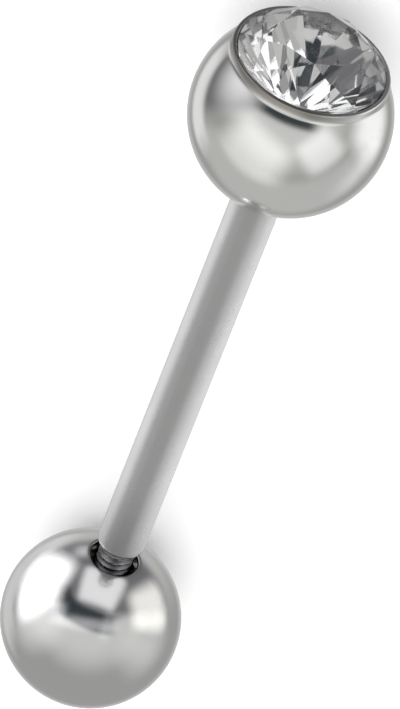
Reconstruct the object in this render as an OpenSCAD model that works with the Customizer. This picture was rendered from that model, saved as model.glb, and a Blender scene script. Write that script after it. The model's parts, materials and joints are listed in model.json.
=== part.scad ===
// Straight tongue barbell with one plain ball and one jewelled ball.
// It lies on its side on its two balls, along X, with the stone at the +X end.

/* [Post] */
// Diameter of the bar
post_d = 1.6; // [1.4:0.1:2.0]
// Length of the bar from shoulder to shoulder
post_length = 16; // [10:0.5:25]
// Width and depth of the bevel on each shoulder
shoulder_bevel = 0.2; // [0.1:0.02:0.22]

/* [Threaded stubs] */
// Outer diameter of the thread
thread_d = 1.2; // [1.0:0.05:1.2]
// Distance from one turn of the thread to the next
thread_pitch = 0.25; // [0.2:0.05:0.35]
// Depth of the thread
thread_depth = 0.13; // [0.08:0.01:0.15]
// Number of turns on each stub
thread_turns = 10; // [8:1:10]

/* [Plain ball] */
// Diameter of the plain ball
plain_ball_d = 6.0; // [5.5:0.5:8]
// Gap between the shoulder and the plain ball, which isn't quite screwed home
shoulder_gap = 0.6; // [0:0.05:1]

/* [Jewelled ball] */
// Diameter of the jewelled ball
jewelled_ball_d = 6.5; // [6.5:0.25:8]
// Width of the rolled lip round the stone
lip_width = 0.16; // [0.12:0.02:0.24]
// Height of the top of the lip above the middle of the ball
lip_height = 2.3; // [2.25:0.05:2.4]
// Radius of the hollow curve between the lip and the ball
lip_fillet = 0.25; // [0.15:0.05:0.4]

/* [Holes for the post] */
// Radial play between a thread and its hole
thread_play = 0.03; // [0.02:0.01:0.08]
// Radial play between the bar and the wide mouth of a hole
mouth_play = 0.02; // [0.02:0.01:0.06]
// Radius of the rounding on the edge of a hole
mouth_round = 0.08; // [0.04:0.02:0.12]
// How deep a shoulder sits in a ball that is screwed home
seat_depth = 0.25; // [0.25:0.01:0.3]

/* [Stone] */
// Diameter of the stone at its girdle
stone_d = 4.8; // [4.4:0.1:4.8]
// Thickness of the girdle
girdle_thick = 0.12; // [0.08:0.02:0.16]
// Diameter of the table as a share of the stone's
table_share = 0.56; // [0.5:0.01:0.65]
// Slope of the main crown facets, in degrees
crown_angle = 41; // [32:1:42]
// Slope of the main pavilion facets, in degrees
pavilion_angle = 41; // [39:0.5:42]
// Reach of the star facets from the table towards the girdle, as a share
star_share = 0.5; // [0.4:0.05:0.6]
// Reach of the lower halves from the girdle towards the middle, as a share
lower_half_share = 0.75; // [0.6:0.05:0.85]

/* [Rest pose] */
// How far the barbell is rolled about its own axis, in degrees
roll = 3.19; // [0:0.01:45]

/* [Hidden] */
$fn = 96;

// Radii
post_r = post_d / 2;
thread_r = thread_d / 2;
root_r = thread_r - thread_depth;
plain_r = plain_ball_d / 2;
jewelled_r = jewelled_ball_d / 2;
stone_r = stone_d / 2;

// Gap that keeps two fitted faces from touching
small_gap = 0.03;

// Heights along the barbell's own axis, from the middle of the plain ball
low_shoulder = plain_r + shoulder_gap;
high_shoulder = low_shoulder + post_length;
ball_spacing = high_shoulder + jewelled_r - seat_depth;

// The stubs, with a plain neck under each shoulder
neck_length = 0.08;
stub_length = neck_length + thread_turns * thread_pitch;

// The holes: a straight mouth, a seat for the bevel and a bore for the thread
mouth_r = post_r + mouth_play;
bore_r = thread_r + thread_play;
bore_spare = 0.05;

// The lip: its inner wall stands just clear of the stone
pocket_r = stone_r + 0.02;
lip_round = lip_width / 2;
lip_outer_r = pocket_r + lip_width;
lip_foot = 1.6;

// The stone's levels above the middle of the jewelled ball
girdle_top = lip_height + 0.03;
girdle_bottom = girdle_top - girdle_thick;
table_r = stone_r * table_share;
crown_height = (stone_r - table_r) * tan(crown_angle);
pavilion_depth = stone_r * tan(pavilion_angle);
culet_depth = 0.06;

// Facets meet with this much to spare, so that no edge shrinks to nothing
meet_gap = 0.01;
mains = 8;
main_step = 360 / mains;
half_step = main_step / 2;
quarter_step = main_step / 4;

// The rest pose: the balls differ in size, so the axis rises a little towards the stone
rise = asin((jewelled_r - plain_r) / ball_spacing);
table_height = girdle_top + crown_height - meet_gap;
overall_high = (ball_spacing + table_height) * cos(rise) + table_r * sin(rise);
plain_ball_x = (plain_r - overall_high) / 2;

// Turns the barbell's own axis, +Z here, to where it lies on the floor
module lay_down() {
    translate([plain_ball_x, 0, plain_r])
        rotate([0, 90 - rise, 0])
            rotate([0, 0, roll])
                children();
}

// Outline of one stub as radius and height, from its shoulder outwards
function stub_outline(shoulder, way) = concat(
    [
        [post_r, shoulder],
        [thread_r, shoulder + way * shoulder_bevel],
        [root_r, shoulder + way * shoulder_bevel]
    ],
    [for (turn = [0 : thread_turns - 1])
        let (start = shoulder + way * (shoulder_bevel + neck_length + turn * thread_pitch))
            each [
                [root_r, start],
                [thread_r, start + way * 0.4 * thread_pitch],
                [thread_r, start + way * 0.55 * thread_pitch],
                [root_r, start + way * 0.95 * thread_pitch]
            ]],
    [[0, shoulder + way * (shoulder_bevel + stub_length)]]
);

function reversed(list) = [for (i = [len(list) - 1 : -1 : 0]) list[i]];

// Hole up the middle of a ball, its mouth towards +Z, with the edge of the mouth rounded
module post_hole(ball_r) {
    seat_top = ball_r - seat_depth - small_gap;
    bore_end = ball_r - seat_depth - shoulder_bevel - stub_length - bore_spare;
    round_r = mouth_r + mouth_round;
    round_z = sqrt(pow(ball_r - mouth_round, 2) - pow(round_r, 2));
    edge = ball_r / (ball_r - mouth_round);
    rotate_extrude() {
        polygon([
            [0, bore_end],
            [bore_r, bore_end],
            [bore_r, seat_top - (mouth_r - bore_r)],
            [mouth_r, seat_top],
            [mouth_r, ball_r],
            [0, ball_r]
        ]);
        difference() {
            polygon([
                [0, round_z],
                [round_r, round_z],
                [round_r * edge * 1.01, round_z * edge * 1.01],
                [0, ball_r + 1]
            ]);
            translate([round_r, round_z]) circle(r = mouth_round);
        }
    }
}

// Raised lip round the stone: a rounded ring that runs into the ball in a hollow curve
module lip() {
    fillet_r = lip_outer_r + lip_fillet;
    fillet_z = sqrt(pow(jewelled_r + lip_fillet, 2) - pow(fillet_r, 2));
    foot = jewelled_r / (jewelled_r + lip_fillet);
    rotate_extrude() {
        translate([lip_outer_r - lip_width, lip_foot])
            square([lip_width, lip_height - lip_round - lip_foot]);
        translate([lip_outer_r - lip_round, lip_height - lip_round])
            circle(r = lip_round);
        difference() {
            polygon([
                [lip_outer_r - lip_round, fillet_z],
                [fillet_r, fillet_z],
                [fillet_r * foot, fillet_z * foot],
                [lip_outer_r - lip_round, lip_foot]
            ]);
            translate([fillet_r, fillet_z]) circle(r = lip_fillet);
        }
    }
}

// Pocket for the stone: a straight wall down to the girdle, then a cone under the pavilion
module stone_pocket() {
    cone_foot = girdle_bottom - pavilion_depth;
    rotate_extrude()
        polygon([
            [0, cone_foot - small_gap],
            [pocket_r, girdle_bottom - small_gap],
            [pocket_r, jewelled_r + 1],
            [0, jewelled_r + 1]
        ]);
}

// What lies under one facet, whose face passes through a point at that reach and level
module under_facet(azimuth, slope, reach, level) {
    block = 3 * stone_d;
    rotate([0, 0, azimuth])
        translate([reach, 0, level])
            rotate([0, slope, 0])
                translate([-block / 2, -block / 2, -block])
                    cube(block);
}

// What lies under a whole ring of like facets
module facet_ring(count, first, slope, reach, level) {
    intersection_for (k = [0 : count - 1])
        under_facet(first + k * 360 / count, slope, reach, level);
}

// Crown: mains, stars by the table, and upper halves by the girdle
module crown_facets() {
    table_edge = table_r * cos(half_step);
    star_r = table_edge + star_share * (stone_r - table_edge);
    star_z = (stone_r - star_r * cos(half_step)) * tan(crown_angle);
    star_angle = atan((crown_height - star_z) / (star_r - table_edge));
    half_angle = atan(star_z / ((stone_r - star_r) * cos(quarter_step)));
    intersection() {
        facet_ring(mains, 0, crown_angle, stone_r + meet_gap, 0);
        facet_ring(mains, half_step, star_angle, star_r, star_z);
        facet_ring(2 * mains, quarter_step, half_angle, stone_r * cos(quarter_step), 0);
    }
}

// Pavilion, upside down: mains, and lower halves by the girdle
module pavilion_facets() {
    lower_r = stone_r * (1 - lower_half_share);
    lower_z = (stone_r - lower_r * cos(half_step)) * tan(pavilion_angle);
    half_angle = atan(lower_z / ((stone_r - lower_r) * cos(quarter_step)));
    intersection() {
        facet_ring(mains, 0, pavilion_angle, stone_r + meet_gap, 0);
        facet_ring(2 * mains, quarter_step, half_angle, stone_r * cos(quarter_step), 0);
    }
}

// The bar and its two stubs, one solid of revolution; the thread is drawn as rings
module post() {
    color("silver")
        lay_down()
            rotate_extrude()
                polygon(concat(
                    reversed(stub_outline(low_shoulder, -1)),
                    stub_outline(high_shoulder, 1)
                ));
}

// The ball that screws on and off
module plain_ball() {
    color("gainsboro")
        lay_down()
            difference() {
                sphere(r = plain_r);
                post_hole(plain_r);
            }
}

// The ball that holds the stone
module jewelled_ball() {
    color("lightgray")
        lay_down()
            translate([0, 0, ball_spacing])
                difference() {
                    union() {
                        sphere(r = jewelled_r);
                        lip();
                    }
                    stone_pocket();
                    rotate([180, 0, 0]) post_hole(jewelled_r);
                }
}

// Round brilliant-cut stone: a short cylinder with its facets cut round it
module stone() {
    culet = girdle_bottom - pavilion_depth + culet_depth;
    color("aliceblue", 0.6)
        lay_down()
            translate([0, 0, ball_spacing])
                intersection() {
                    translate([0, 0, culet]) cylinder(r = stone_r, h = table_height - culet);
                    translate([0, 0, girdle_top]) crown_facets();
                    translate([0, 0, girdle_bottom]) mirror([0, 0, 1]) pavilion_facets();
                }
}

post();
plain_ball();
jewelled_ball();
stone();
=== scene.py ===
import json
import math

import bmesh
import bpy
from mathutils import Matrix, Vector


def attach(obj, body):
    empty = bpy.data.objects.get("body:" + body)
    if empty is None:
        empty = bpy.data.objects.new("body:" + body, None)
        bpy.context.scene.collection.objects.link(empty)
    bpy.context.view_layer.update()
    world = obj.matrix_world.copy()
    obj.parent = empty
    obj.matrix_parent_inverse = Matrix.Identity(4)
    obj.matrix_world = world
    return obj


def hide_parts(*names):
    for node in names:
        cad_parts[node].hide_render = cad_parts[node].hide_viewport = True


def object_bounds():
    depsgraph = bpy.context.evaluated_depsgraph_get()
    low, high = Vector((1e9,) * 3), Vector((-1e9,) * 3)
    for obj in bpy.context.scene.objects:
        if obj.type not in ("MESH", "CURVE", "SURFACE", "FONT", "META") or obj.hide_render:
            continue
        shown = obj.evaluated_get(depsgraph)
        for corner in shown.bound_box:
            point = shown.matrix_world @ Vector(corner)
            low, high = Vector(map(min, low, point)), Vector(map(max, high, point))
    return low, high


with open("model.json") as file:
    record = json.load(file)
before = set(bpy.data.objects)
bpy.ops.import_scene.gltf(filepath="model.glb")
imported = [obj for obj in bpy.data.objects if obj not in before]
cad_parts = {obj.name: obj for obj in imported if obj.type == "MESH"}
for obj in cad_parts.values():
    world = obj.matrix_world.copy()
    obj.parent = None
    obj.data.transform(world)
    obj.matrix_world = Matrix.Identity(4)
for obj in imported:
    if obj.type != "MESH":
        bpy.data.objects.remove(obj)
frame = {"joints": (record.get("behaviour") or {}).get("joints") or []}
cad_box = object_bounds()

# A millimetre, in metres
MM = 0.001

# The post, in millimetres
POST_R = 0.8
POST_LENGTH = 16.0
SHOULDER_BEVEL = 0.2
SHOULDER_ROUND = 0.05
NECK_LENGTH = 0.08
TIP_BEVEL = 0.07

# Its thread, in millimetres apart from the turns and each flank's share of the pitch
THREAD_R = 0.6
THREAD_DEPTH = 0.13
THREAD_PITCH = 0.25
THREAD_TURNS = 10
FLANK_SHARE = 0.4
RUN_IN = 0.15
RUN_OUT = 0.3

# The balls and the holes in them, in millimetres
PLAIN_R = 3.0
JEWELLED_R = 3.25
SHOULDER_GAP = 0.6
SEAT_DEPTH = 0.25
SMALL_GAP = 0.03
MOUTH_R = 0.82
MOUTH_ROUND = 0.08
BORE_R = 0.63
BORE_SPARE = 0.05

# The lip round the stone, in millimetres
LIP_WIDTH = 0.16
LIP_HEIGHT = 2.3
LIP_FILLET = 0.25
POCKET_PLAY = 0.02

# The stone, in millimetres apart from its shares, angles and number of main facets
STONE_R = 2.4
GIRDLE_THICK = 0.12
CULET_DEPTH = 0.06
TABLE_SHARE = 0.56
CROWN_ANGLE = math.radians(41)
PAVILION_ANGLE = math.radians(41)
STAR_SHARE = 0.5
LOWER_HALF_SHARE = 0.75
MAINS = 8

# Facets meet with this much to spare, so that no edge shrinks to nothing
MEET_GAP = 0.01

# Points of the stone that lie closer than this to a cut are on it
SAME_POINT = 1e-6

# How far the barbell is rolled about its own axis
ROLL = math.radians(3.19)

# Heights along the barbell's own axis, from the middle of the plain ball
LOW_SHOULDER = PLAIN_R + SHOULDER_GAP
HIGH_SHOULDER = LOW_SHOULDER + POST_LENGTH
BALL_SPACING = HIGH_SHOULDER + JEWELLED_R - SEAT_DEPTH

# The threaded stubs
ROOT_R = THREAD_R - THREAD_DEPTH
THREAD_LENGTH = THREAD_TURNS * THREAD_PITCH
STUB_LENGTH = NECK_LENGTH + THREAD_LENGTH

# The girdle, from the middle of the jewelled ball, and the pocket round it
GIRDLE_TOP = LIP_HEIGHT + SMALL_GAP
GIRDLE_BOTTOM = GIRDLE_TOP - GIRDLE_THICK
POCKET_R = STONE_R + POCKET_PLAY

# Fineness of the meshes: arcs below the small radius all have the same number of steps
SEGMENTS = 192
ARC_STEP = math.radians(1.5)
SMALL_ARC_R = 0.5
SMALL_ARC_STEPS = 12
SHARP_ANGLE = math.radians(32)
BAR_RINGS = 24
RINGS_A_TURN = 14

# The straight share of a stub's neck, and how many of the thread's rings its bevelled tip leaves out
NECK_SHARE = 0.6
TIP_RINGS = 8

# Noise in the materials: its detail and the range that it hardly leaves
NOISE_DETAIL = 4.0
NOISE_LOW = 0.3
NOISE_HIGH = 0.7

# Depth of the fine lines in the steel, at full strength
LINE_DEPTH = 0.01 * MM

# How often light may turn inside the stone
STONE_BOUNCES = 32

# The camera, fitted to the outlines in the photograph, which is 400 pixels wide and 709 high
PHOTO_HEIGHT = 709
VIEW_ANGLE = math.radians(50.53)     # between the barbell's axis and the line to the camera
LEAN_ANGLE = math.radians(21.72)     # of the barbell in the picture, from upright to the right
CAMERA_DISTANCE = 262.6              # in millimetres
PIXELS_PER_MM = 31.08                # at that distance
AIM_RIGHT = -0.39 * MM               # from the picture's middle to the barbell's
AIM_UP = -0.60 * MM

# The studio, in metres
LIGHT_DISTANCE = 0.25
FLOOR_HALF = 3.0
WALL_R = 0.82
WALL_HEIGHT = 0.6
OVERHEAD_HEIGHT = 1.0
OVERHEAD_WIDTH = 4.0

# The power of the overhead light, in watts
OVERHEAD_POWER = 52.0

# The barbell's own frame: its axis as its joint states it, from the middle of the plain ball
AXIS = Vector(frame["joints"][0]["axis"]).normalized()
ACROSS = Vector((0, 1, 0))
BARBELL = Matrix((ACROSS.cross(AXIS), ACROSS, AXIS)).transposed().to_4x4()
BARBELL.translation = (cad_box[0][0] + PLAIN_R * MM, 0, PLAIN_R * MM)
BARBELL = BARBELL @ Matrix.Rotation(ROLL, 4, "Z")


def along(height):
    """The barbell's frame moved up its axis by so many millimetres."""
    return BARBELL @ Matrix.Translation((0, 0, height * MM))


def add_object(name, data):
    """Puts a mesh, light or camera in the scene."""
    obj = bpy.data.objects.new(name, data)
    bpy.context.scene.collection.objects.link(obj)
    return obj


def add_mesh(name, bm):
    """Puts a bmesh in the scene."""
    mesh = bpy.data.meshes.new(name)
    bm.to_mesh(mesh)
    bm.free()
    return add_object(name, mesh)


def add_piece(name, bm, placed):
    """Puts a bmesh in the scene that was built in millimetres in its own frame."""
    bmesh.ops.recalc_face_normals(bm, faces=bm.faces)
    piece = add_mesh(name, bm)
    piece.data.transform(placed @ Matrix.Scale(MM, 4))
    return piece


def arc(middle_r, middle_z, radius, start, end):
    """Points of an arc, as radius and height, from one angle to another."""
    steps = SMALL_ARC_STEPS if radius < SMALL_ARC_R else math.ceil(abs(end - start) / ARC_STEP)
    angles = [start + (end - start) * k / steps for k in range(steps + 1)]
    return [(middle_r + radius * math.cos(a), middle_z + radius * math.sin(a)) for a in angles]


def turned(name, outline, placed, swell=None):
    """A solid of revolution. Where its outline has None, swell(height, angle) gives the radius."""
    bm = bmesh.new()
    rings = []
    for radius, height in outline:
        if radius == 0:
            rings.append([bm.verts.new((0, 0, height))])
            continue
        ring = []
        for k in range(SEGMENTS):
            angle = 2 * math.pi * k / SEGMENTS
            r = swell(height, angle) if radius is None else radius
            ring.append(bm.verts.new((r * math.cos(angle), r * math.sin(angle), height)))
        rings.append(ring)
    for low, high in zip(rings, rings[1:]):
        for k in range(SEGMENTS):
            after = (k + 1) % SEGMENTS
            if len(low) == 1:
                bm.faces.new((low[0], high[after], high[k]))
            elif len(high) == 1:
                bm.faces.new((low[k], low[after], high[0]))
            else:
                bm.faces.new((low[k], low[after], high[after], high[k]))
    piece = add_piece(name, bm, placed)
    piece.data.shade_smooth()
    piece.data.set_sharp_from_angle(angle=SHARP_ANGLE)
    return piece


def hole_outline(ball_r):
    """A hole, mouth upwards: the angle at which its rounded edge leaves the ball, and its outline."""
    seat_top = ball_r - SEAT_DEPTH - SMALL_GAP
    round_r = MOUTH_R + MOUTH_ROUND
    round_z = math.sqrt((ball_r - MOUTH_ROUND) ** 2 - round_r ** 2)
    meets = math.atan2(round_z, round_r)
    bore_end = ball_r - SEAT_DEPTH - SHOULDER_BEVEL - STUB_LENGTH - BORE_SPARE
    return meets, arc(round_r, round_z, MOUTH_ROUND, meets, math.pi) + [
        (MOUTH_R, seat_top),
        (BORE_R, seat_top - (MOUTH_R - BORE_R)),
        (BORE_R, bore_end),
        (0, bore_end),
    ]


def make_plain_ball():
    """The ball that screws on and off, its hole upwards."""
    meets, hole = hole_outline(PLAIN_R)
    outline = [(0, -PLAIN_R)] + arc(0, 0, PLAIN_R, -math.pi / 2, meets)[1:] + hole[1:]
    return turned("polished_plain_ball", outline, along(0))


def make_jewelled_ball():
    """The ball that holds the stone: its hole downwards, its lip and the pocket inside it upwards."""
    meets, hole = hole_outline(JEWELLED_R)
    hole = [(r, -z) for r, z in reversed(hole)]
    lip_outer_r = POCKET_R + LIP_WIDTH
    lip_round = LIP_WIDTH / 2
    fillet_r = lip_outer_r + LIP_FILLET
    fillet_z = math.sqrt((JEWELLED_R + LIP_FILLET) ** 2 - fillet_r ** 2)
    foot = math.atan2(fillet_z, fillet_r)
    cone_foot = GIRDLE_BOTTOM - STONE_R * math.tan(PAVILION_ANGLE)
    outline = (
        hole[:-1]
        + arc(0, 0, JEWELLED_R, -meets, foot)
        + arc(fillet_r, fillet_z, LIP_FILLET, foot + math.pi, math.pi)[1:]
        + arc(lip_outer_r - lip_round, LIP_HEIGHT - lip_round, lip_round, 0, math.pi)
        + [(POCKET_R, GIRDLE_BOTTOM - SMALL_GAP), (0, cone_foot - SMALL_GAP)]
    )
    return turned("polished_jewelled_ball", outline, along(BALL_SPACING))


def thread_start(shoulder, way):
    """Height at which a stub's neck ends and its thread starts."""
    return shoulder + way * (SHOULDER_BEVEL + NECK_LENGTH)


def thread_swell(shoulder, way):
    """The radius of a stub's thread: a ridge that winds round it and fades out at both ends."""
    start = thread_start(shoulder, way)

    def radius(height, angle):
        gone = way * (height - start)
        phase = (gone / THREAD_PITCH - way * angle / (2 * math.pi)) % 1.0
        ridge = min(1.0, max(0.0, (0.5 - abs(phase - 0.5)) / FLANK_SHARE))
        fade = min(1.0, max(0.0, gone / RUN_IN), max(0.0, (THREAD_LENGTH - gone) / RUN_OUT))
        return THREAD_R - THREAD_DEPTH * (1 - ridge * fade)

    return radius


def stub_rings(shoulder, way):
    """A stub's rings, as radius and height, from its neck outwards to its bevelled tip."""
    start = thread_start(shoulder, way)
    tip = start + way * THREAD_LENGTH
    count = THREAD_TURNS * RINGS_A_TURN
    neck = [(ROOT_R, start - way * NECK_SHARE * NECK_LENGTH)]
    thread = [(None, start + way * THREAD_LENGTH * k / count) for k in range(count - TIP_RINGS)]
    return neck + thread + [(ROOT_R - TIP_BEVEL, tip), (0, tip)]


def shoulder_outline(shoulder, way):
    """The bevel of one shoulder, from the bar outwards, rounded at both its edges."""
    soft = SHOULDER_ROUND
    return [
        (POST_R, shoulder - way * 3 * soft),
        (POST_R, shoulder - way * soft),
        (POST_R - 0.3 * soft, shoulder),
        (POST_R - soft, shoulder + way * soft),
        (THREAD_R + soft, shoulder + way * (SHOULDER_BEVEL - soft)),
        (THREAD_R, shoulder + way * SHOULDER_BEVEL),
    ]


def make_post():
    """The bar and both stubs as one mesh, with a true screw thread on each stub."""
    low = shoulder_outline(LOW_SHOULDER, -1) + stub_rings(LOW_SHOULDER, -1)
    high = shoulder_outline(HIGH_SHOULDER, 1) + stub_rings(HIGH_SHOULDER, 1)
    bar = [(POST_R, LOW_SHOULDER + POST_LENGTH * k / BAR_RINGS) for k in range(1, BAR_RINGS)]
    low_thread = thread_swell(LOW_SHOULDER, -1)
    high_thread = thread_swell(HIGH_SHOULDER, 1)
    middle = (LOW_SHOULDER + HIGH_SHOULDER) / 2

    def swell(height, angle):
        return low_thread(height, angle) if height < middle else high_thread(height, angle)

    return turned("threaded_post", list(reversed(low)) + bar + high, along(0), swell)


def cut_facet(bm, azimuth, slope, reach, level, way):
    """Cuts away what lies outside one facet, upwards or downwards by the way, and closes the cut."""
    normal = Vector((math.sin(slope) * math.cos(azimuth), math.sin(slope) * math.sin(azimuth),
                     way * math.cos(slope)))
    point = Vector((reach * math.cos(azimuth), reach * math.sin(azimuth), level))
    cut = bmesh.ops.bisect_plane(bm, geom=bm.verts[:] + bm.edges[:] + bm.faces[:], dist=SAME_POINT,
                                 plane_co=point, plane_no=normal, clear_outer=True)
    edges = [e for e in cut["geom_cut"] if isinstance(e, bmesh.types.BMEdge)]
    if edges:
        bmesh.ops.contextual_create(bm, geom=edges)


def cut_ring(bm, count, first, slope, reach, level, way):
    """Cuts a whole ring of like facets."""
    for k in range(count):
        cut_facet(bm, first + 2 * math.pi * k / count, slope, reach, level, way)


def make_stone():
    """The round brilliant: a cylinder whose facets are cut one by one, as on the real stone."""
    table_r = STONE_R * TABLE_SHARE
    crown = (STONE_R - table_r) * math.tan(CROWN_ANGLE)
    pavilion = STONE_R * math.tan(PAVILION_ANGLE)
    main_step = 2 * math.pi / MAINS
    half_step, quarter_step = main_step / 2, main_step / 4
    table_edge = table_r * math.cos(half_step)
    star_r = table_edge + STAR_SHARE * (STONE_R - table_edge)
    star_z = (STONE_R - star_r * math.cos(half_step)) * math.tan(CROWN_ANGLE)
    star_slope = math.atan((crown - star_z) / (star_r - table_edge))
    upper_slope = math.atan(star_z / ((STONE_R - star_r) * math.cos(quarter_step)))
    lower_r = STONE_R * (1 - LOWER_HALF_SHARE)
    lower_z = (STONE_R - lower_r * math.cos(half_step)) * math.tan(PAVILION_ANGLE)
    lower_slope = math.atan(lower_z / ((STONE_R - lower_r) * math.cos(quarter_step)))

    bm = bmesh.new()
    low = GIRDLE_BOTTOM - pavilion + CULET_DEPTH
    high = GIRDLE_TOP + crown - MEET_GAP
    bmesh.ops.create_cone(bm, cap_ends=True, segments=SEGMENTS, radius1=STONE_R, radius2=STONE_R,
                          depth=high - low, matrix=Matrix.Translation((0, 0, (high + low) / 2)))
    main_reach = STONE_R + MEET_GAP
    half_reach = STONE_R * math.cos(quarter_step)
    cut_ring(bm, MAINS, 0, CROWN_ANGLE, main_reach, GIRDLE_TOP, 1)
    cut_ring(bm, 2 * MAINS, quarter_step, upper_slope, half_reach, GIRDLE_TOP, 1)
    cut_ring(bm, MAINS, half_step, star_slope, star_r, GIRDLE_TOP + star_z, 1)
    cut_ring(bm, MAINS, 0, PAVILION_ANGLE, main_reach, GIRDLE_BOTTOM, -1)
    cut_ring(bm, 2 * MAINS, quarter_step, lower_slope, half_reach, GIRDLE_BOTTOM, -1)
    piece = add_piece("brilliant_stone", bm, along(BALL_SPACING))
    piece.data.shade_flat()
    return piece


def feed(tree, node, inputs):
    """Sets inputs of a node, by name or number, to values or to what other nodes put out."""
    for name, value in inputs.items():
        if isinstance(value, bpy.types.NodeSocket):
            tree.links.new(value, node.inputs[name])
        else:
            node.inputs[name].default_value = value


def add_node(tree, kind, inputs, **settings):
    """Adds a shader node of that kind, with its settings and inputs."""
    node = tree.nodes.new("ShaderNode" + kind)
    for name, value in settings.items():
        setattr(node, name, value)
    feed(tree, node, inputs)
    return node


def maths(tree, operation, *values):
    """The result of a maths node."""
    return add_node(tree, "Math", dict(enumerate(values)), operation=operation).outputs["Value"]


def vector_maths(tree, operation, *values):
    """The result of a vector maths node, which for some operations is a number."""
    node = add_node(tree, "VectorMath", dict(enumerate(values)), operation=operation)
    return node.outputs["Value" if operation in ("DOT_PRODUCT", "LENGTH") else "Vector"]


def spread(tree, value, low, high, to_low=0.0, to_high=1.0, curve="SMOOTHSTEP"):
    """Goes from one number to another as the value goes from low to high."""
    inputs = {"Value": value, "From Min": low, "From Max": high, "To Min": to_low, "To Max": to_high}
    return add_node(tree, "MapRange", inputs, interpolation_type=curve).outputs["Result"]


def mixed(tree, a, b, factor, blend_type="MIX"):
    """Two colours mixed by a factor."""
    inputs = {"A": a, "B": b, "Factor": factor}
    return add_node(tree, "Mix", inputs, data_type="RGBA", blend_type=blend_type).outputs["Result"]


def new_material(name):
    """A material, its node tree and its shader."""
    material = bpy.data.materials.new(name)
    material.use_nodes = True
    return material, material.node_tree, material.node_tree.nodes["Principled BSDF"]


def position(tree):
    """Where a point of the surface is, in metres."""
    return add_node(tree, "TexCoord", {}).outputs["Object"]


def from_plain_ball(tree):
    """Where a point of the surface is from the middle of the plain ball, in millimetres."""
    offset = vector_maths(tree, "SUBTRACT", position(tree), BARBELL.translation)
    inputs = {0: offset, "Scale": 1 / MM}
    return add_node(tree, "VectorMath", inputs, operation="SCALE").outputs["Vector"]


def height_along(tree):
    """How far along the barbell's axis a point of the surface is, in millimetres."""
    return vector_maths(tree, "DOT_PRODUCT", from_plain_ball(tree), AXIS)


def reach_off(tree):
    """How far off the barbell's axis a point of the surface is, in millimetres."""
    off_axis = vector_maths(tree, "CROSS_PRODUCT", from_plain_ball(tree), AXIS)
    return vector_maths(tree, "LENGTH", off_axis)


def noise(tree, scale, stretch=(1, 1, 1)):
    """A noise texture with that many turns to the metre, times the stretch along each axis."""
    mapping = add_node(tree, "Mapping", {"Vector": position(tree), "Scale": stretch})
    inputs = {"Vector": mapping.outputs["Vector"], "Scale": scale, "Detail": NOISE_DETAIL}
    return add_node(tree, "TexNoise", inputs).outputs["Fac"]


def haze(tree, scale, low, high):
    """A roughness that wanders between two numbers."""
    return spread(tree, noise(tree, scale), NOISE_LOW, NOISE_HIGH, low, high, curve="LINEAR")


def fine_lines(tree, scale, stretch, strength):
    """The normal of a surface with fine lines worked into it."""
    inputs = {"Height": noise(tree, scale, stretch), "Strength": strength, "Distance": LINE_DEPTH}
    return add_node(tree, "Bump", inputs).outputs["Normal"]


def shaded(tree, colour, distance, deepest):
    """A colour with painted shade, darkened where surfaces stand within so many millimetres, down to
    that share of it.
    """
    closed_in, wide_open = 0.25, 0.9
    corners = add_node(tree, "AmbientOcclusion", {"Distance": distance * MM}, samples=8).outputs["AO"]
    share = spread(tree, corners, closed_in, wide_open, deepest, curve="LINEAR")
    return mixed(tree, colour, share, 1.0, blend_type="MULTIPLY")


def polished_steel(name):
    """Mirror-polished surgical steel with hairline scratches and a faint polishing haze."""
    material, tree, shader = new_material(name)
    roughness = haze(tree, scale=600, low=0.11, high=0.16)
    scratches = fine_lines(tree, scale=9000, stretch=(1, 0.08, 1), strength=0.02)
    feed(tree, shader, {"Metallic": 1.0, "Roughness": roughness, "Normal": scratches})
    return material, tree, shader, roughness


def plain_polish():
    """The plain ball's steel, with painted shade that darkens it inside its hole and round the post.
    """
    material, tree, shader, _ = polished_steel("polished_steel")
    feed(tree, shader, {"Base Color": shaded(tree, (0.80, 0.80, 0.80, 1), distance=0.9, deepest=0.05)})
    return material


def set_polish():
    """The same polish, duller on the lip, where the metal was bent over the stone. Painted shade
    darkens and warms the lip and the crease under it.

    The painted shade and the dullness are weaker on the lip's -Y side, the right one in the picture,
    which is painted as the side the light falls on.
    """
    material, tree, shader, roughness = polished_steel("polished_setting")
    # Painted shade: the second colour darkens and warms the lip for the shadow band that lies along it
    polished, rolled_lip_in_painted_shade = (0.80, 0.80, 0.79, 1), (0.33, 0.315, 0.295, 1)
    rolled_roughness = 0.22
    least_on_lit_side = 0.15
    up_the_lip = spread(tree, height_along(tree), BALL_SPACING + 1.85, BALL_SPACING + 2.2)
    outside = spread(tree, reach_off(tree), STONE_R + 0.04, STONE_R + 0.12)
    # The painted shade and the dullness fade towards the -Y side, painted as the side the light falls
    # on
    side = add_node(tree, "SeparateXYZ", {"Vector": position(tree)}).outputs["Y"]
    shade_and_dullness_by_side = spread(tree, side, -2.2 * MM, -0.4 * MM, to_low=least_on_lit_side)
    lip = maths(tree, "MULTIPLY", up_the_lip, maths(tree, "MULTIPLY", outside, shade_and_dullness_by_side))
    steel = mixed(tree, polished, rolled_lip_in_painted_shade, lip)
    # Painted shade also darkens the crease under the lip, the gaps round the stone and the inside of
    # the hole
    feed(tree, shader, {
        "Base Color": shaded(tree, steel, distance=0.5, deepest=0.75),
        "Roughness": maths(tree, "MULTIPLY_ADD", lip, rolled_roughness, roughness),
    })
    return material


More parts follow.
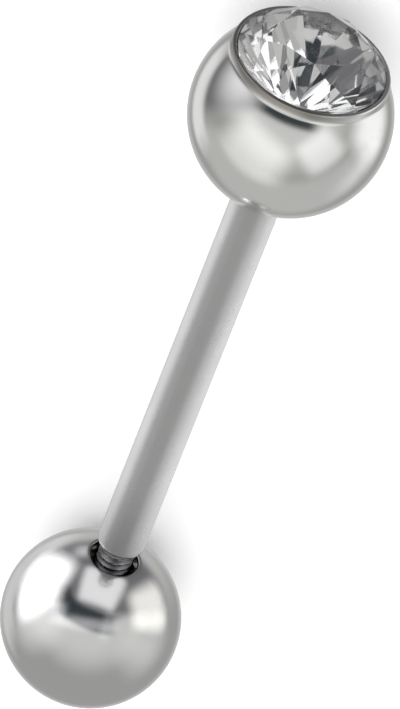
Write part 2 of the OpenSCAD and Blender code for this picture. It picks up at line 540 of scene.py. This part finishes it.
def satin_steel():
    """Surgical steel drawn and brushed round the bar, with painted shade: darker towards the plain
    ball, and darker still where the balls stand close.
    """
    material, tree, shader = new_material("satin_steel")
    # Painted shade: the first colour is the bar's tone where the plain ball keeps light off it, the
    # second its tone further up
    dark, light = (0.46, 0.46, 0.47, 1), (0.69, 0.69, 0.70, 1)
    shade_lifting_up_the_bar = spread(tree, height_along(tree), LOW_SHOULDER - 0.6, LOW_SHOULDER + 3.6)
    feed(tree, shader, {
        "Metallic": 1.0,
        "Base Color": shaded(tree, mixed(tree, dark, light, shade_lifting_up_the_bar), distance=1.8, deepest=0.3),
        "Roughness": haze(tree, scale=900, low=0.24, high=0.32),
        "Normal": fine_lines(tree, scale=12000, stretch=(1, 0.05, 0.05), strength=0.08),
    })
    return material


def crystal():
    """Clear cut crystal."""
    material, tree, shader = new_material("clear_crystal")
    feed(tree, shader, {
        "Base Color": (1.0, 1.0, 1.0, 1),
        "Roughness": 0.0,
        "IOR": 1.56,
        "Transmission Weight": 1.0,
    })
    return material


def foil():
    """Silver foil behind the stone, seen only through it."""
    material, tree, shader = new_material("silver_foil")
    feed(tree, shader, {
        "Metallic": 1.0,
        "Base Color": (0.90, 0.90, 0.90, 1),
        "Roughness": haze(tree, scale=2000, low=0.04, high=0.09),
    })
    return material


def dress(piece, material, node, body):
    """Gives a piece its material and its body, and hides the CAD node that it stands for."""
    piece.data.materials.append(material)
    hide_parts(node)
    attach(piece, body)


def back_with_foil(piece):
    """Lays foil on the facets of the stone that lie below its girdle."""
    piece.data.materials.append(foil())
    girdle_middle = along(BALL_SPACING) @ Vector((0, 0, (GIRDLE_TOP + GIRDLE_BOTTOM) / 2 * MM))
    for face in piece.data.polygons:
        if (face.center - girdle_middle).dot(AXIS) < -GIRDLE_THICK * MM / 2:
            face.material_index = 1


plain_ball = make_plain_ball()
jewelled_ball = make_jewelled_ball()
post = make_post()
stone = make_stone()
dress(plain_ball, plain_polish(), "plain_ball", "screw_ball")
dress(jewelled_ball, set_polish(), "jewelled_ball", "barbell")
dress(post, satin_steel(), "post", "barbell")
dress(stone, crystal(), "stone", "barbell")
back_with_foil(stone)

# The line back to the camera makes the fitted angle with the barbell's axis, straight above it
UP = Vector((0, 0, 1))
lift = (UP - UP.dot(AXIS) * AXIS).normalized()
back = AXIS * math.cos(VIEW_ANGLE) + lift * math.sin(VIEW_ANGLE)
axis_seen = (AXIS - AXIS.dot(back) * back).normalized()
side_seen = axis_seen.cross(back)
picture_right = math.cos(LEAN_ANGLE) * side_seen + math.sin(LEAN_ANGLE) * axis_seen
picture_up = math.cos(LEAN_ANGLE) * axis_seen - math.sin(LEAN_ANGLE) * side_seen


def add_camera():
    """The camera, with the barbell's middle a little off the picture's."""
    data = bpy.data.cameras.new("camera")
    data.sensor_width = 36
    data.lens = data.sensor_width * PIXELS_PER_MM * CAMERA_DISTANCE / PHOTO_HEIGHT
    data.clip_start = 0.01
    data.clip_end = 20
    camera = add_object("camera", data)
    middle = along(BALL_SPACING / 2).translation
    place = Matrix((picture_right, picture_up, back)).transposed().to_4x4()
    place.translation = (middle - AIM_RIGHT * picture_right - AIM_UP * picture_up
                         + CAMERA_DISTANCE * MM * back)
    camera.matrix_world = place
    return camera


bpy.context.scene.camera = add_camera()


def mirrored(bearing, angle):
    """A direction that the steel mirrors, in degrees: so far off the line to the camera, towards a
    bearing in the picture that runs from right through up."""
    bearing, angle = math.radians(bearing), math.radians(angle)
    right = math.sin(angle) * math.cos(bearing)
    up = math.sin(angle) * math.sin(bearing)
    return (picture_right * right + picture_up * up + back * math.cos(angle)).normalized()


def collected(name, pieces):
    """A collection of pieces that a light shines on, or that may stand in its way."""
    collection = bpy.data.collections.new(name)
    for piece in pieces:
        collection.objects.link(piece)
    return collection


def soft_edged(light, softness):
    """Fades a light's panel towards its edges, over that share of its half width."""
    light.use_nodes = True
    tree = light.node_tree
    half = 0.5
    across_panel = add_node(tree, "NewGeometry", {}).outputs["Parametric"]
    split = add_node(tree, "SeparateXYZ", {"Vector": across_panel})
    fades = []
    for axis in ("X", "Y"):
        off_middle = maths(tree, "ABSOLUTE", maths(tree, "SUBTRACT", split.outputs[axis], half))
        fades.append(spread(tree, off_middle, half, half * (1 - softness)))
    feed(tree, tree.nodes["Emission"], {"Strength": maths(tree, "MULTIPLY", *fades)})


casters = collected("casters", [plain_ball, jewelled_ball, post, stone])


def soft_box(name, lit, bearing, angle, across, outwards, radiance,
             softness=0.6, turn=0, tint=(1, 1, 1)):
    """A soft box that lights one piece alone, from the direction of that bearing and angle.

    It fills so many degrees across its bearing and outwards from the camera, and may be turned.
    """
    data = bpy.data.lights.new(name, "AREA")
    data.shape = "RECTANGLE"
    data.size = 2 * LIGHT_DISTANCE * math.tan(math.radians(across / 2))
    data.size_y = 2 * LIGHT_DISTANCE * math.tan(math.radians(outwards / 2))
    data.energy = radiance * math.pi * data.size * data.size_y
    data.color = tint
    soft_edged(data, softness)
    box = add_object(name, data)
    direction = mirrored(bearing, angle)
    outer = mirrored(bearing, angle + 90)
    side = outer.cross(direction)
    turn = math.radians(turn)
    turned_side = math.cos(turn) * side + math.sin(turn) * outer
    turned_top = direction.cross(turned_side)
    place = Matrix((turned_side, turned_top, direction)).transposed().to_4x4()
    centre = sum((Vector(corner) for corner in lit.bound_box), Vector()) / 8
    place.translation = centre + LIGHT_DISTANCE * direction
    box.matrix_world = place
    box.visible_camera = False
    box.light_linking.receiver_collection = collected("lit_by_" + name, [lit])
    box.light_linking.blocker_collection = casters


# Each soft box: its bearing and angle, its size across and outwards, all in degrees, and its radiance

# Plain ball: a white panel at the upper left, a grey one above the camera and a cream one at the right
soft_box("plain_white", plain_ball, 144, 84, 84, 84, 1.9, softness=0.75, turn=24)
soft_box("plain_window", plain_ball, 70, 44, 60, 60, 0.74, softness=0.42)
soft_box("plain_cream", plain_ball, 10, 83, 58, 74, 0.85, softness=0.65, tint=(1.0, 0.985, 0.93))
# Plain ball: dimmer ones behind it, below it and above it
soft_box("plain_back_left", plain_ball, 152, 135, 90, 46, 0.3, tint=(0.98, 0.98, 1))
soft_box("plain_low_left", plain_ball, 182, 74, 80, 96, 0.42, softness=1)
soft_box("plain_low_right", plain_ball, 330, 84, 76, 90, 0.3, softness=1)
soft_box("plain_top", plain_ball, 68, 132, 120, 64, 0.18, softness=1)
# Plain ball: small ones that shape the dark band round the grey panel
soft_box("plain_right_of_band", plain_ball, 352, 27, 28, 30, 0.2, softness=0.8)
soft_box("plain_under_band", plain_ball, 206, 12, 108, 26, 0.40, softness=0.9, turn=56)
soft_box("plain_white_foot", plain_ball, 163, 42, 30, 30, 0.5, softness=1)
soft_box("plain_band_end", plain_ball, 319, 25, 26, 24, 0.3, softness=1)
soft_box("plain_beside_hole", plain_ball, 96, 96, 26, 34, 0.5, softness=1)

# Jewelled ball: a warm panel at the lower left, a smaller one beside it and a white one at the right
soft_box("jewelled_warm", jewelled_ball, 226, 62, 88, 76, 0.45, softness=0.7, tint=(1, 0.99, 0.96))
soft_box("jewelled_patch", jewelled_ball, 308, 56, 56, 58, 0.42, softness=0.6)
soft_box("jewelled_right", jewelled_ball, 352, 104, 60, 76, 0.75, softness=0.8)
# Jewelled ball: soft ones that fill in its left side and its limb
soft_box("jewelled_left_fill", jewelled_ball, 140, 66, 92, 90, 0.78, softness=1)
soft_box("jewelled_low_fill", jewelled_ball, 260, 112, 150, 80, 0.16, softness=0.6)
soft_box("jewelled_left", jewelled_ball, 165, 128, 70, 38, 0.5, tint=(0.97, 0.97, 1))
soft_box("jewelled_low_right", jewelled_ball, 322, 118, 56, 50, 0.24, softness=1)

# Stone: two bright panels that flash in it and a faint one near the camera
soft_box("stone_left_edge", stone, 24, 46, 30, 60, 1.2, softness=0.3, turn=-24)
soft_box("stone_foot", stone, 122, 66, 44, 22, 1.2, softness=0.4)
soft_box("stone_middle", stone, 125, 16, 40, 34, 0.25, softness=0.5)

# Bar: what the camera sees mirrored in it, then what other views see on its far side
soft_box("bar_left", post, 185, 130, 80, 80, 0.6, softness=0.8)
soft_box("bar_right", post, 316, 134, 80, 80, 0.58, softness=0.8)
soft_box("bar_right_inner", post, 291, 97, 60, 56, 0.32, softness=1)
soft_box("bar_left_inner", post, 216, 88, 40, 44, 0.1, softness=1)
soft_box("bar_far_left", post, 132, 44, 70, 84, 0.62, softness=0.9)
soft_box("bar_far_left_low", post, 100, 88, 60, 60, 0.35, softness=1)
soft_box("bar_far_right", post, 12, 50, 60, 84, 0.45, softness=1)


def pale_floor():
    """Plain floor that the steel doesn't mirror and the stone doesn't show: they see the studio."""
    bm = bmesh.new()
    bmesh.ops.create_grid(bm, x_segments=1, y_segments=1, size=FLOOR_HALF)
    floor = add_mesh("floor", bm)
    material, tree, shader = new_material("pale_floor")
    feed(tree, shader, {
        "Base Color": (0.92, 0.92, 0.92, 1),
        "Roughness": 0.9,
        "Specular IOR Level": 0.1,
    })
    floor.data.materials.append(material)
    floor.visible_glossy = False
    floor.visible_transmission = False
    return floor


def white_wall():
    """White wall round the floor, lit by itself, seen by the camera alone and only from inside."""
    bm = bmesh.new()
    bmesh.ops.create_cone(bm, cap_ends=False, segments=96, radius1=WALL_R, radius2=WALL_R,
                          depth=WALL_HEIGHT, matrix=Matrix.Translation((0, 0, WALL_HEIGHT / 2)))
    wall = add_mesh("wall", bm)
    material, tree, shader = new_material("white_wall")
    feed(tree, shader, {
        "Base Color": (0, 0, 0, 1),
        "Specular IOR Level": 0,
        "Emission Color": (1, 1, 1, 1),
        "Emission Strength": 1.0,
        "Alpha": add_node(tree, "NewGeometry", {}).outputs["Backfacing"],
    })
    wall.data.materials.append(material)
    wall.visible_diffuse = False
    wall.visible_glossy = False
    wall.visible_transmission = False
    wall.visible_shadow = False
    return wall


def overhead_light(lit):
    """A wide, shadowless light that whitens the floor alone."""
    data = bpy.data.lights.new("overhead", "AREA")
    data.shape = "DISK"
    data.size = OVERHEAD_WIDTH
    data.energy = OVERHEAD_POWER
    data.use_shadow = False
    light = add_object("overhead", data)
    light.location = (0, 0, OVERHEAD_HEIGHT)
    light.visible_camera = False
    light.visible_glossy = False
    light.light_linking.receiver_collection = collected("lit_by_overhead", [lit])


def studio_world():
    """The tent of white cloth round the table, as tones by direction."""
    world = bpy.data.worlds.new("studio")
    world.use_nodes = True
    tree = world.node_tree
    heading = add_node(tree, "TexCoord", {}).outputs["Generated"]

    def part_along(direction):
        """How far the tent lies along a direction, from -1 to 1."""
        return vector_maths(tree, "DOT_PRODUCT", heading, direction)

    def near(direction, far_angle, near_angle):
        """Goes from 0 to 1 between two angles off a direction, in degrees."""
        far, close = math.cos(math.radians(far_angle)), math.cos(math.radians(near_angle))
        return spread(tree, part_along(direction), far, close)

    def band(direction, low, high, soft):
        """1 between two angles off the plane square to a direction, with soft edges, in degrees."""
        part = part_along(direction)
        low, high, soft = (math.sin(math.radians(angle)) for angle in (low, high, soft))
        return maths(tree, "MULTIPLY",
                     spread(tree, part, low - soft / 2, low + soft / 2),
                     spread(tree, part, high + soft / 2, high - soft / 2))

    # Parts of the tent, by how far they lie towards the camera and up the picture
    to_camera, upwards = part_along(back), part_along(picture_up)
    in_front = spread(tree, to_camera, 0.1, 0.88)
    behind = spread(tree, to_camera, -0.83, -0.95)
    above = maths(tree, "MULTIPLY",
                  spread(tree, upwards, -0.05, 0.2),
                  spread(tree, to_camera, -0.6, -0.3))

    # Part of a dark ring over the camera, which is the dark band on both balls, and a dark doorway
    arch = mirrored(68, 62)
    ring = maths(tree, "MULTIPLY", near(arch, 79, 72), near(arch, 48, 52))
    open_ring = maths(tree, "MULTIPLY", ring, band(mirrored(338, 90), -46, 32, 16))
    dark_band = maths(tree, "MULTIPLY", open_ring, spread(tree, to_camera, 0.0, 0.3))
    doorway = near(mirrored(138, 50), 15, 8)

    tent = (0.385, 0.385, 0.375, 1)
    for tone, share in (
        ((0.68, 0.68, 0.67, 1), in_front),
        ((0.55, 0.55, 0.55, 1), behind),
        ((0.17, 0.17, 0.18, 1), above),
        ((0.02, 0.03, 0.035, 1), dark_band),
        ((0.03, 0.03, 0.03, 1), doorway),
    ):
        tent = mixed(tree, tent, tone, share)
    feed(tree, tree.nodes["Background"], {"Color": tent, "Strength": 1.0})
    return world


floor = pale_floor()
wall = white_wall()
overhead_light(floor)
bpy.context.scene.world = studio_world()

bpy.context.scene.view_settings.view_transform = "Standard"
bpy.context.scene.cycles.max_bounces = STONE_BOUNCES
bpy.context.scene.cycles.glossy_bounces = STONE_BOUNCES
bpy.context.scene.cycles.transmission_bounces = STONE_BOUNCES
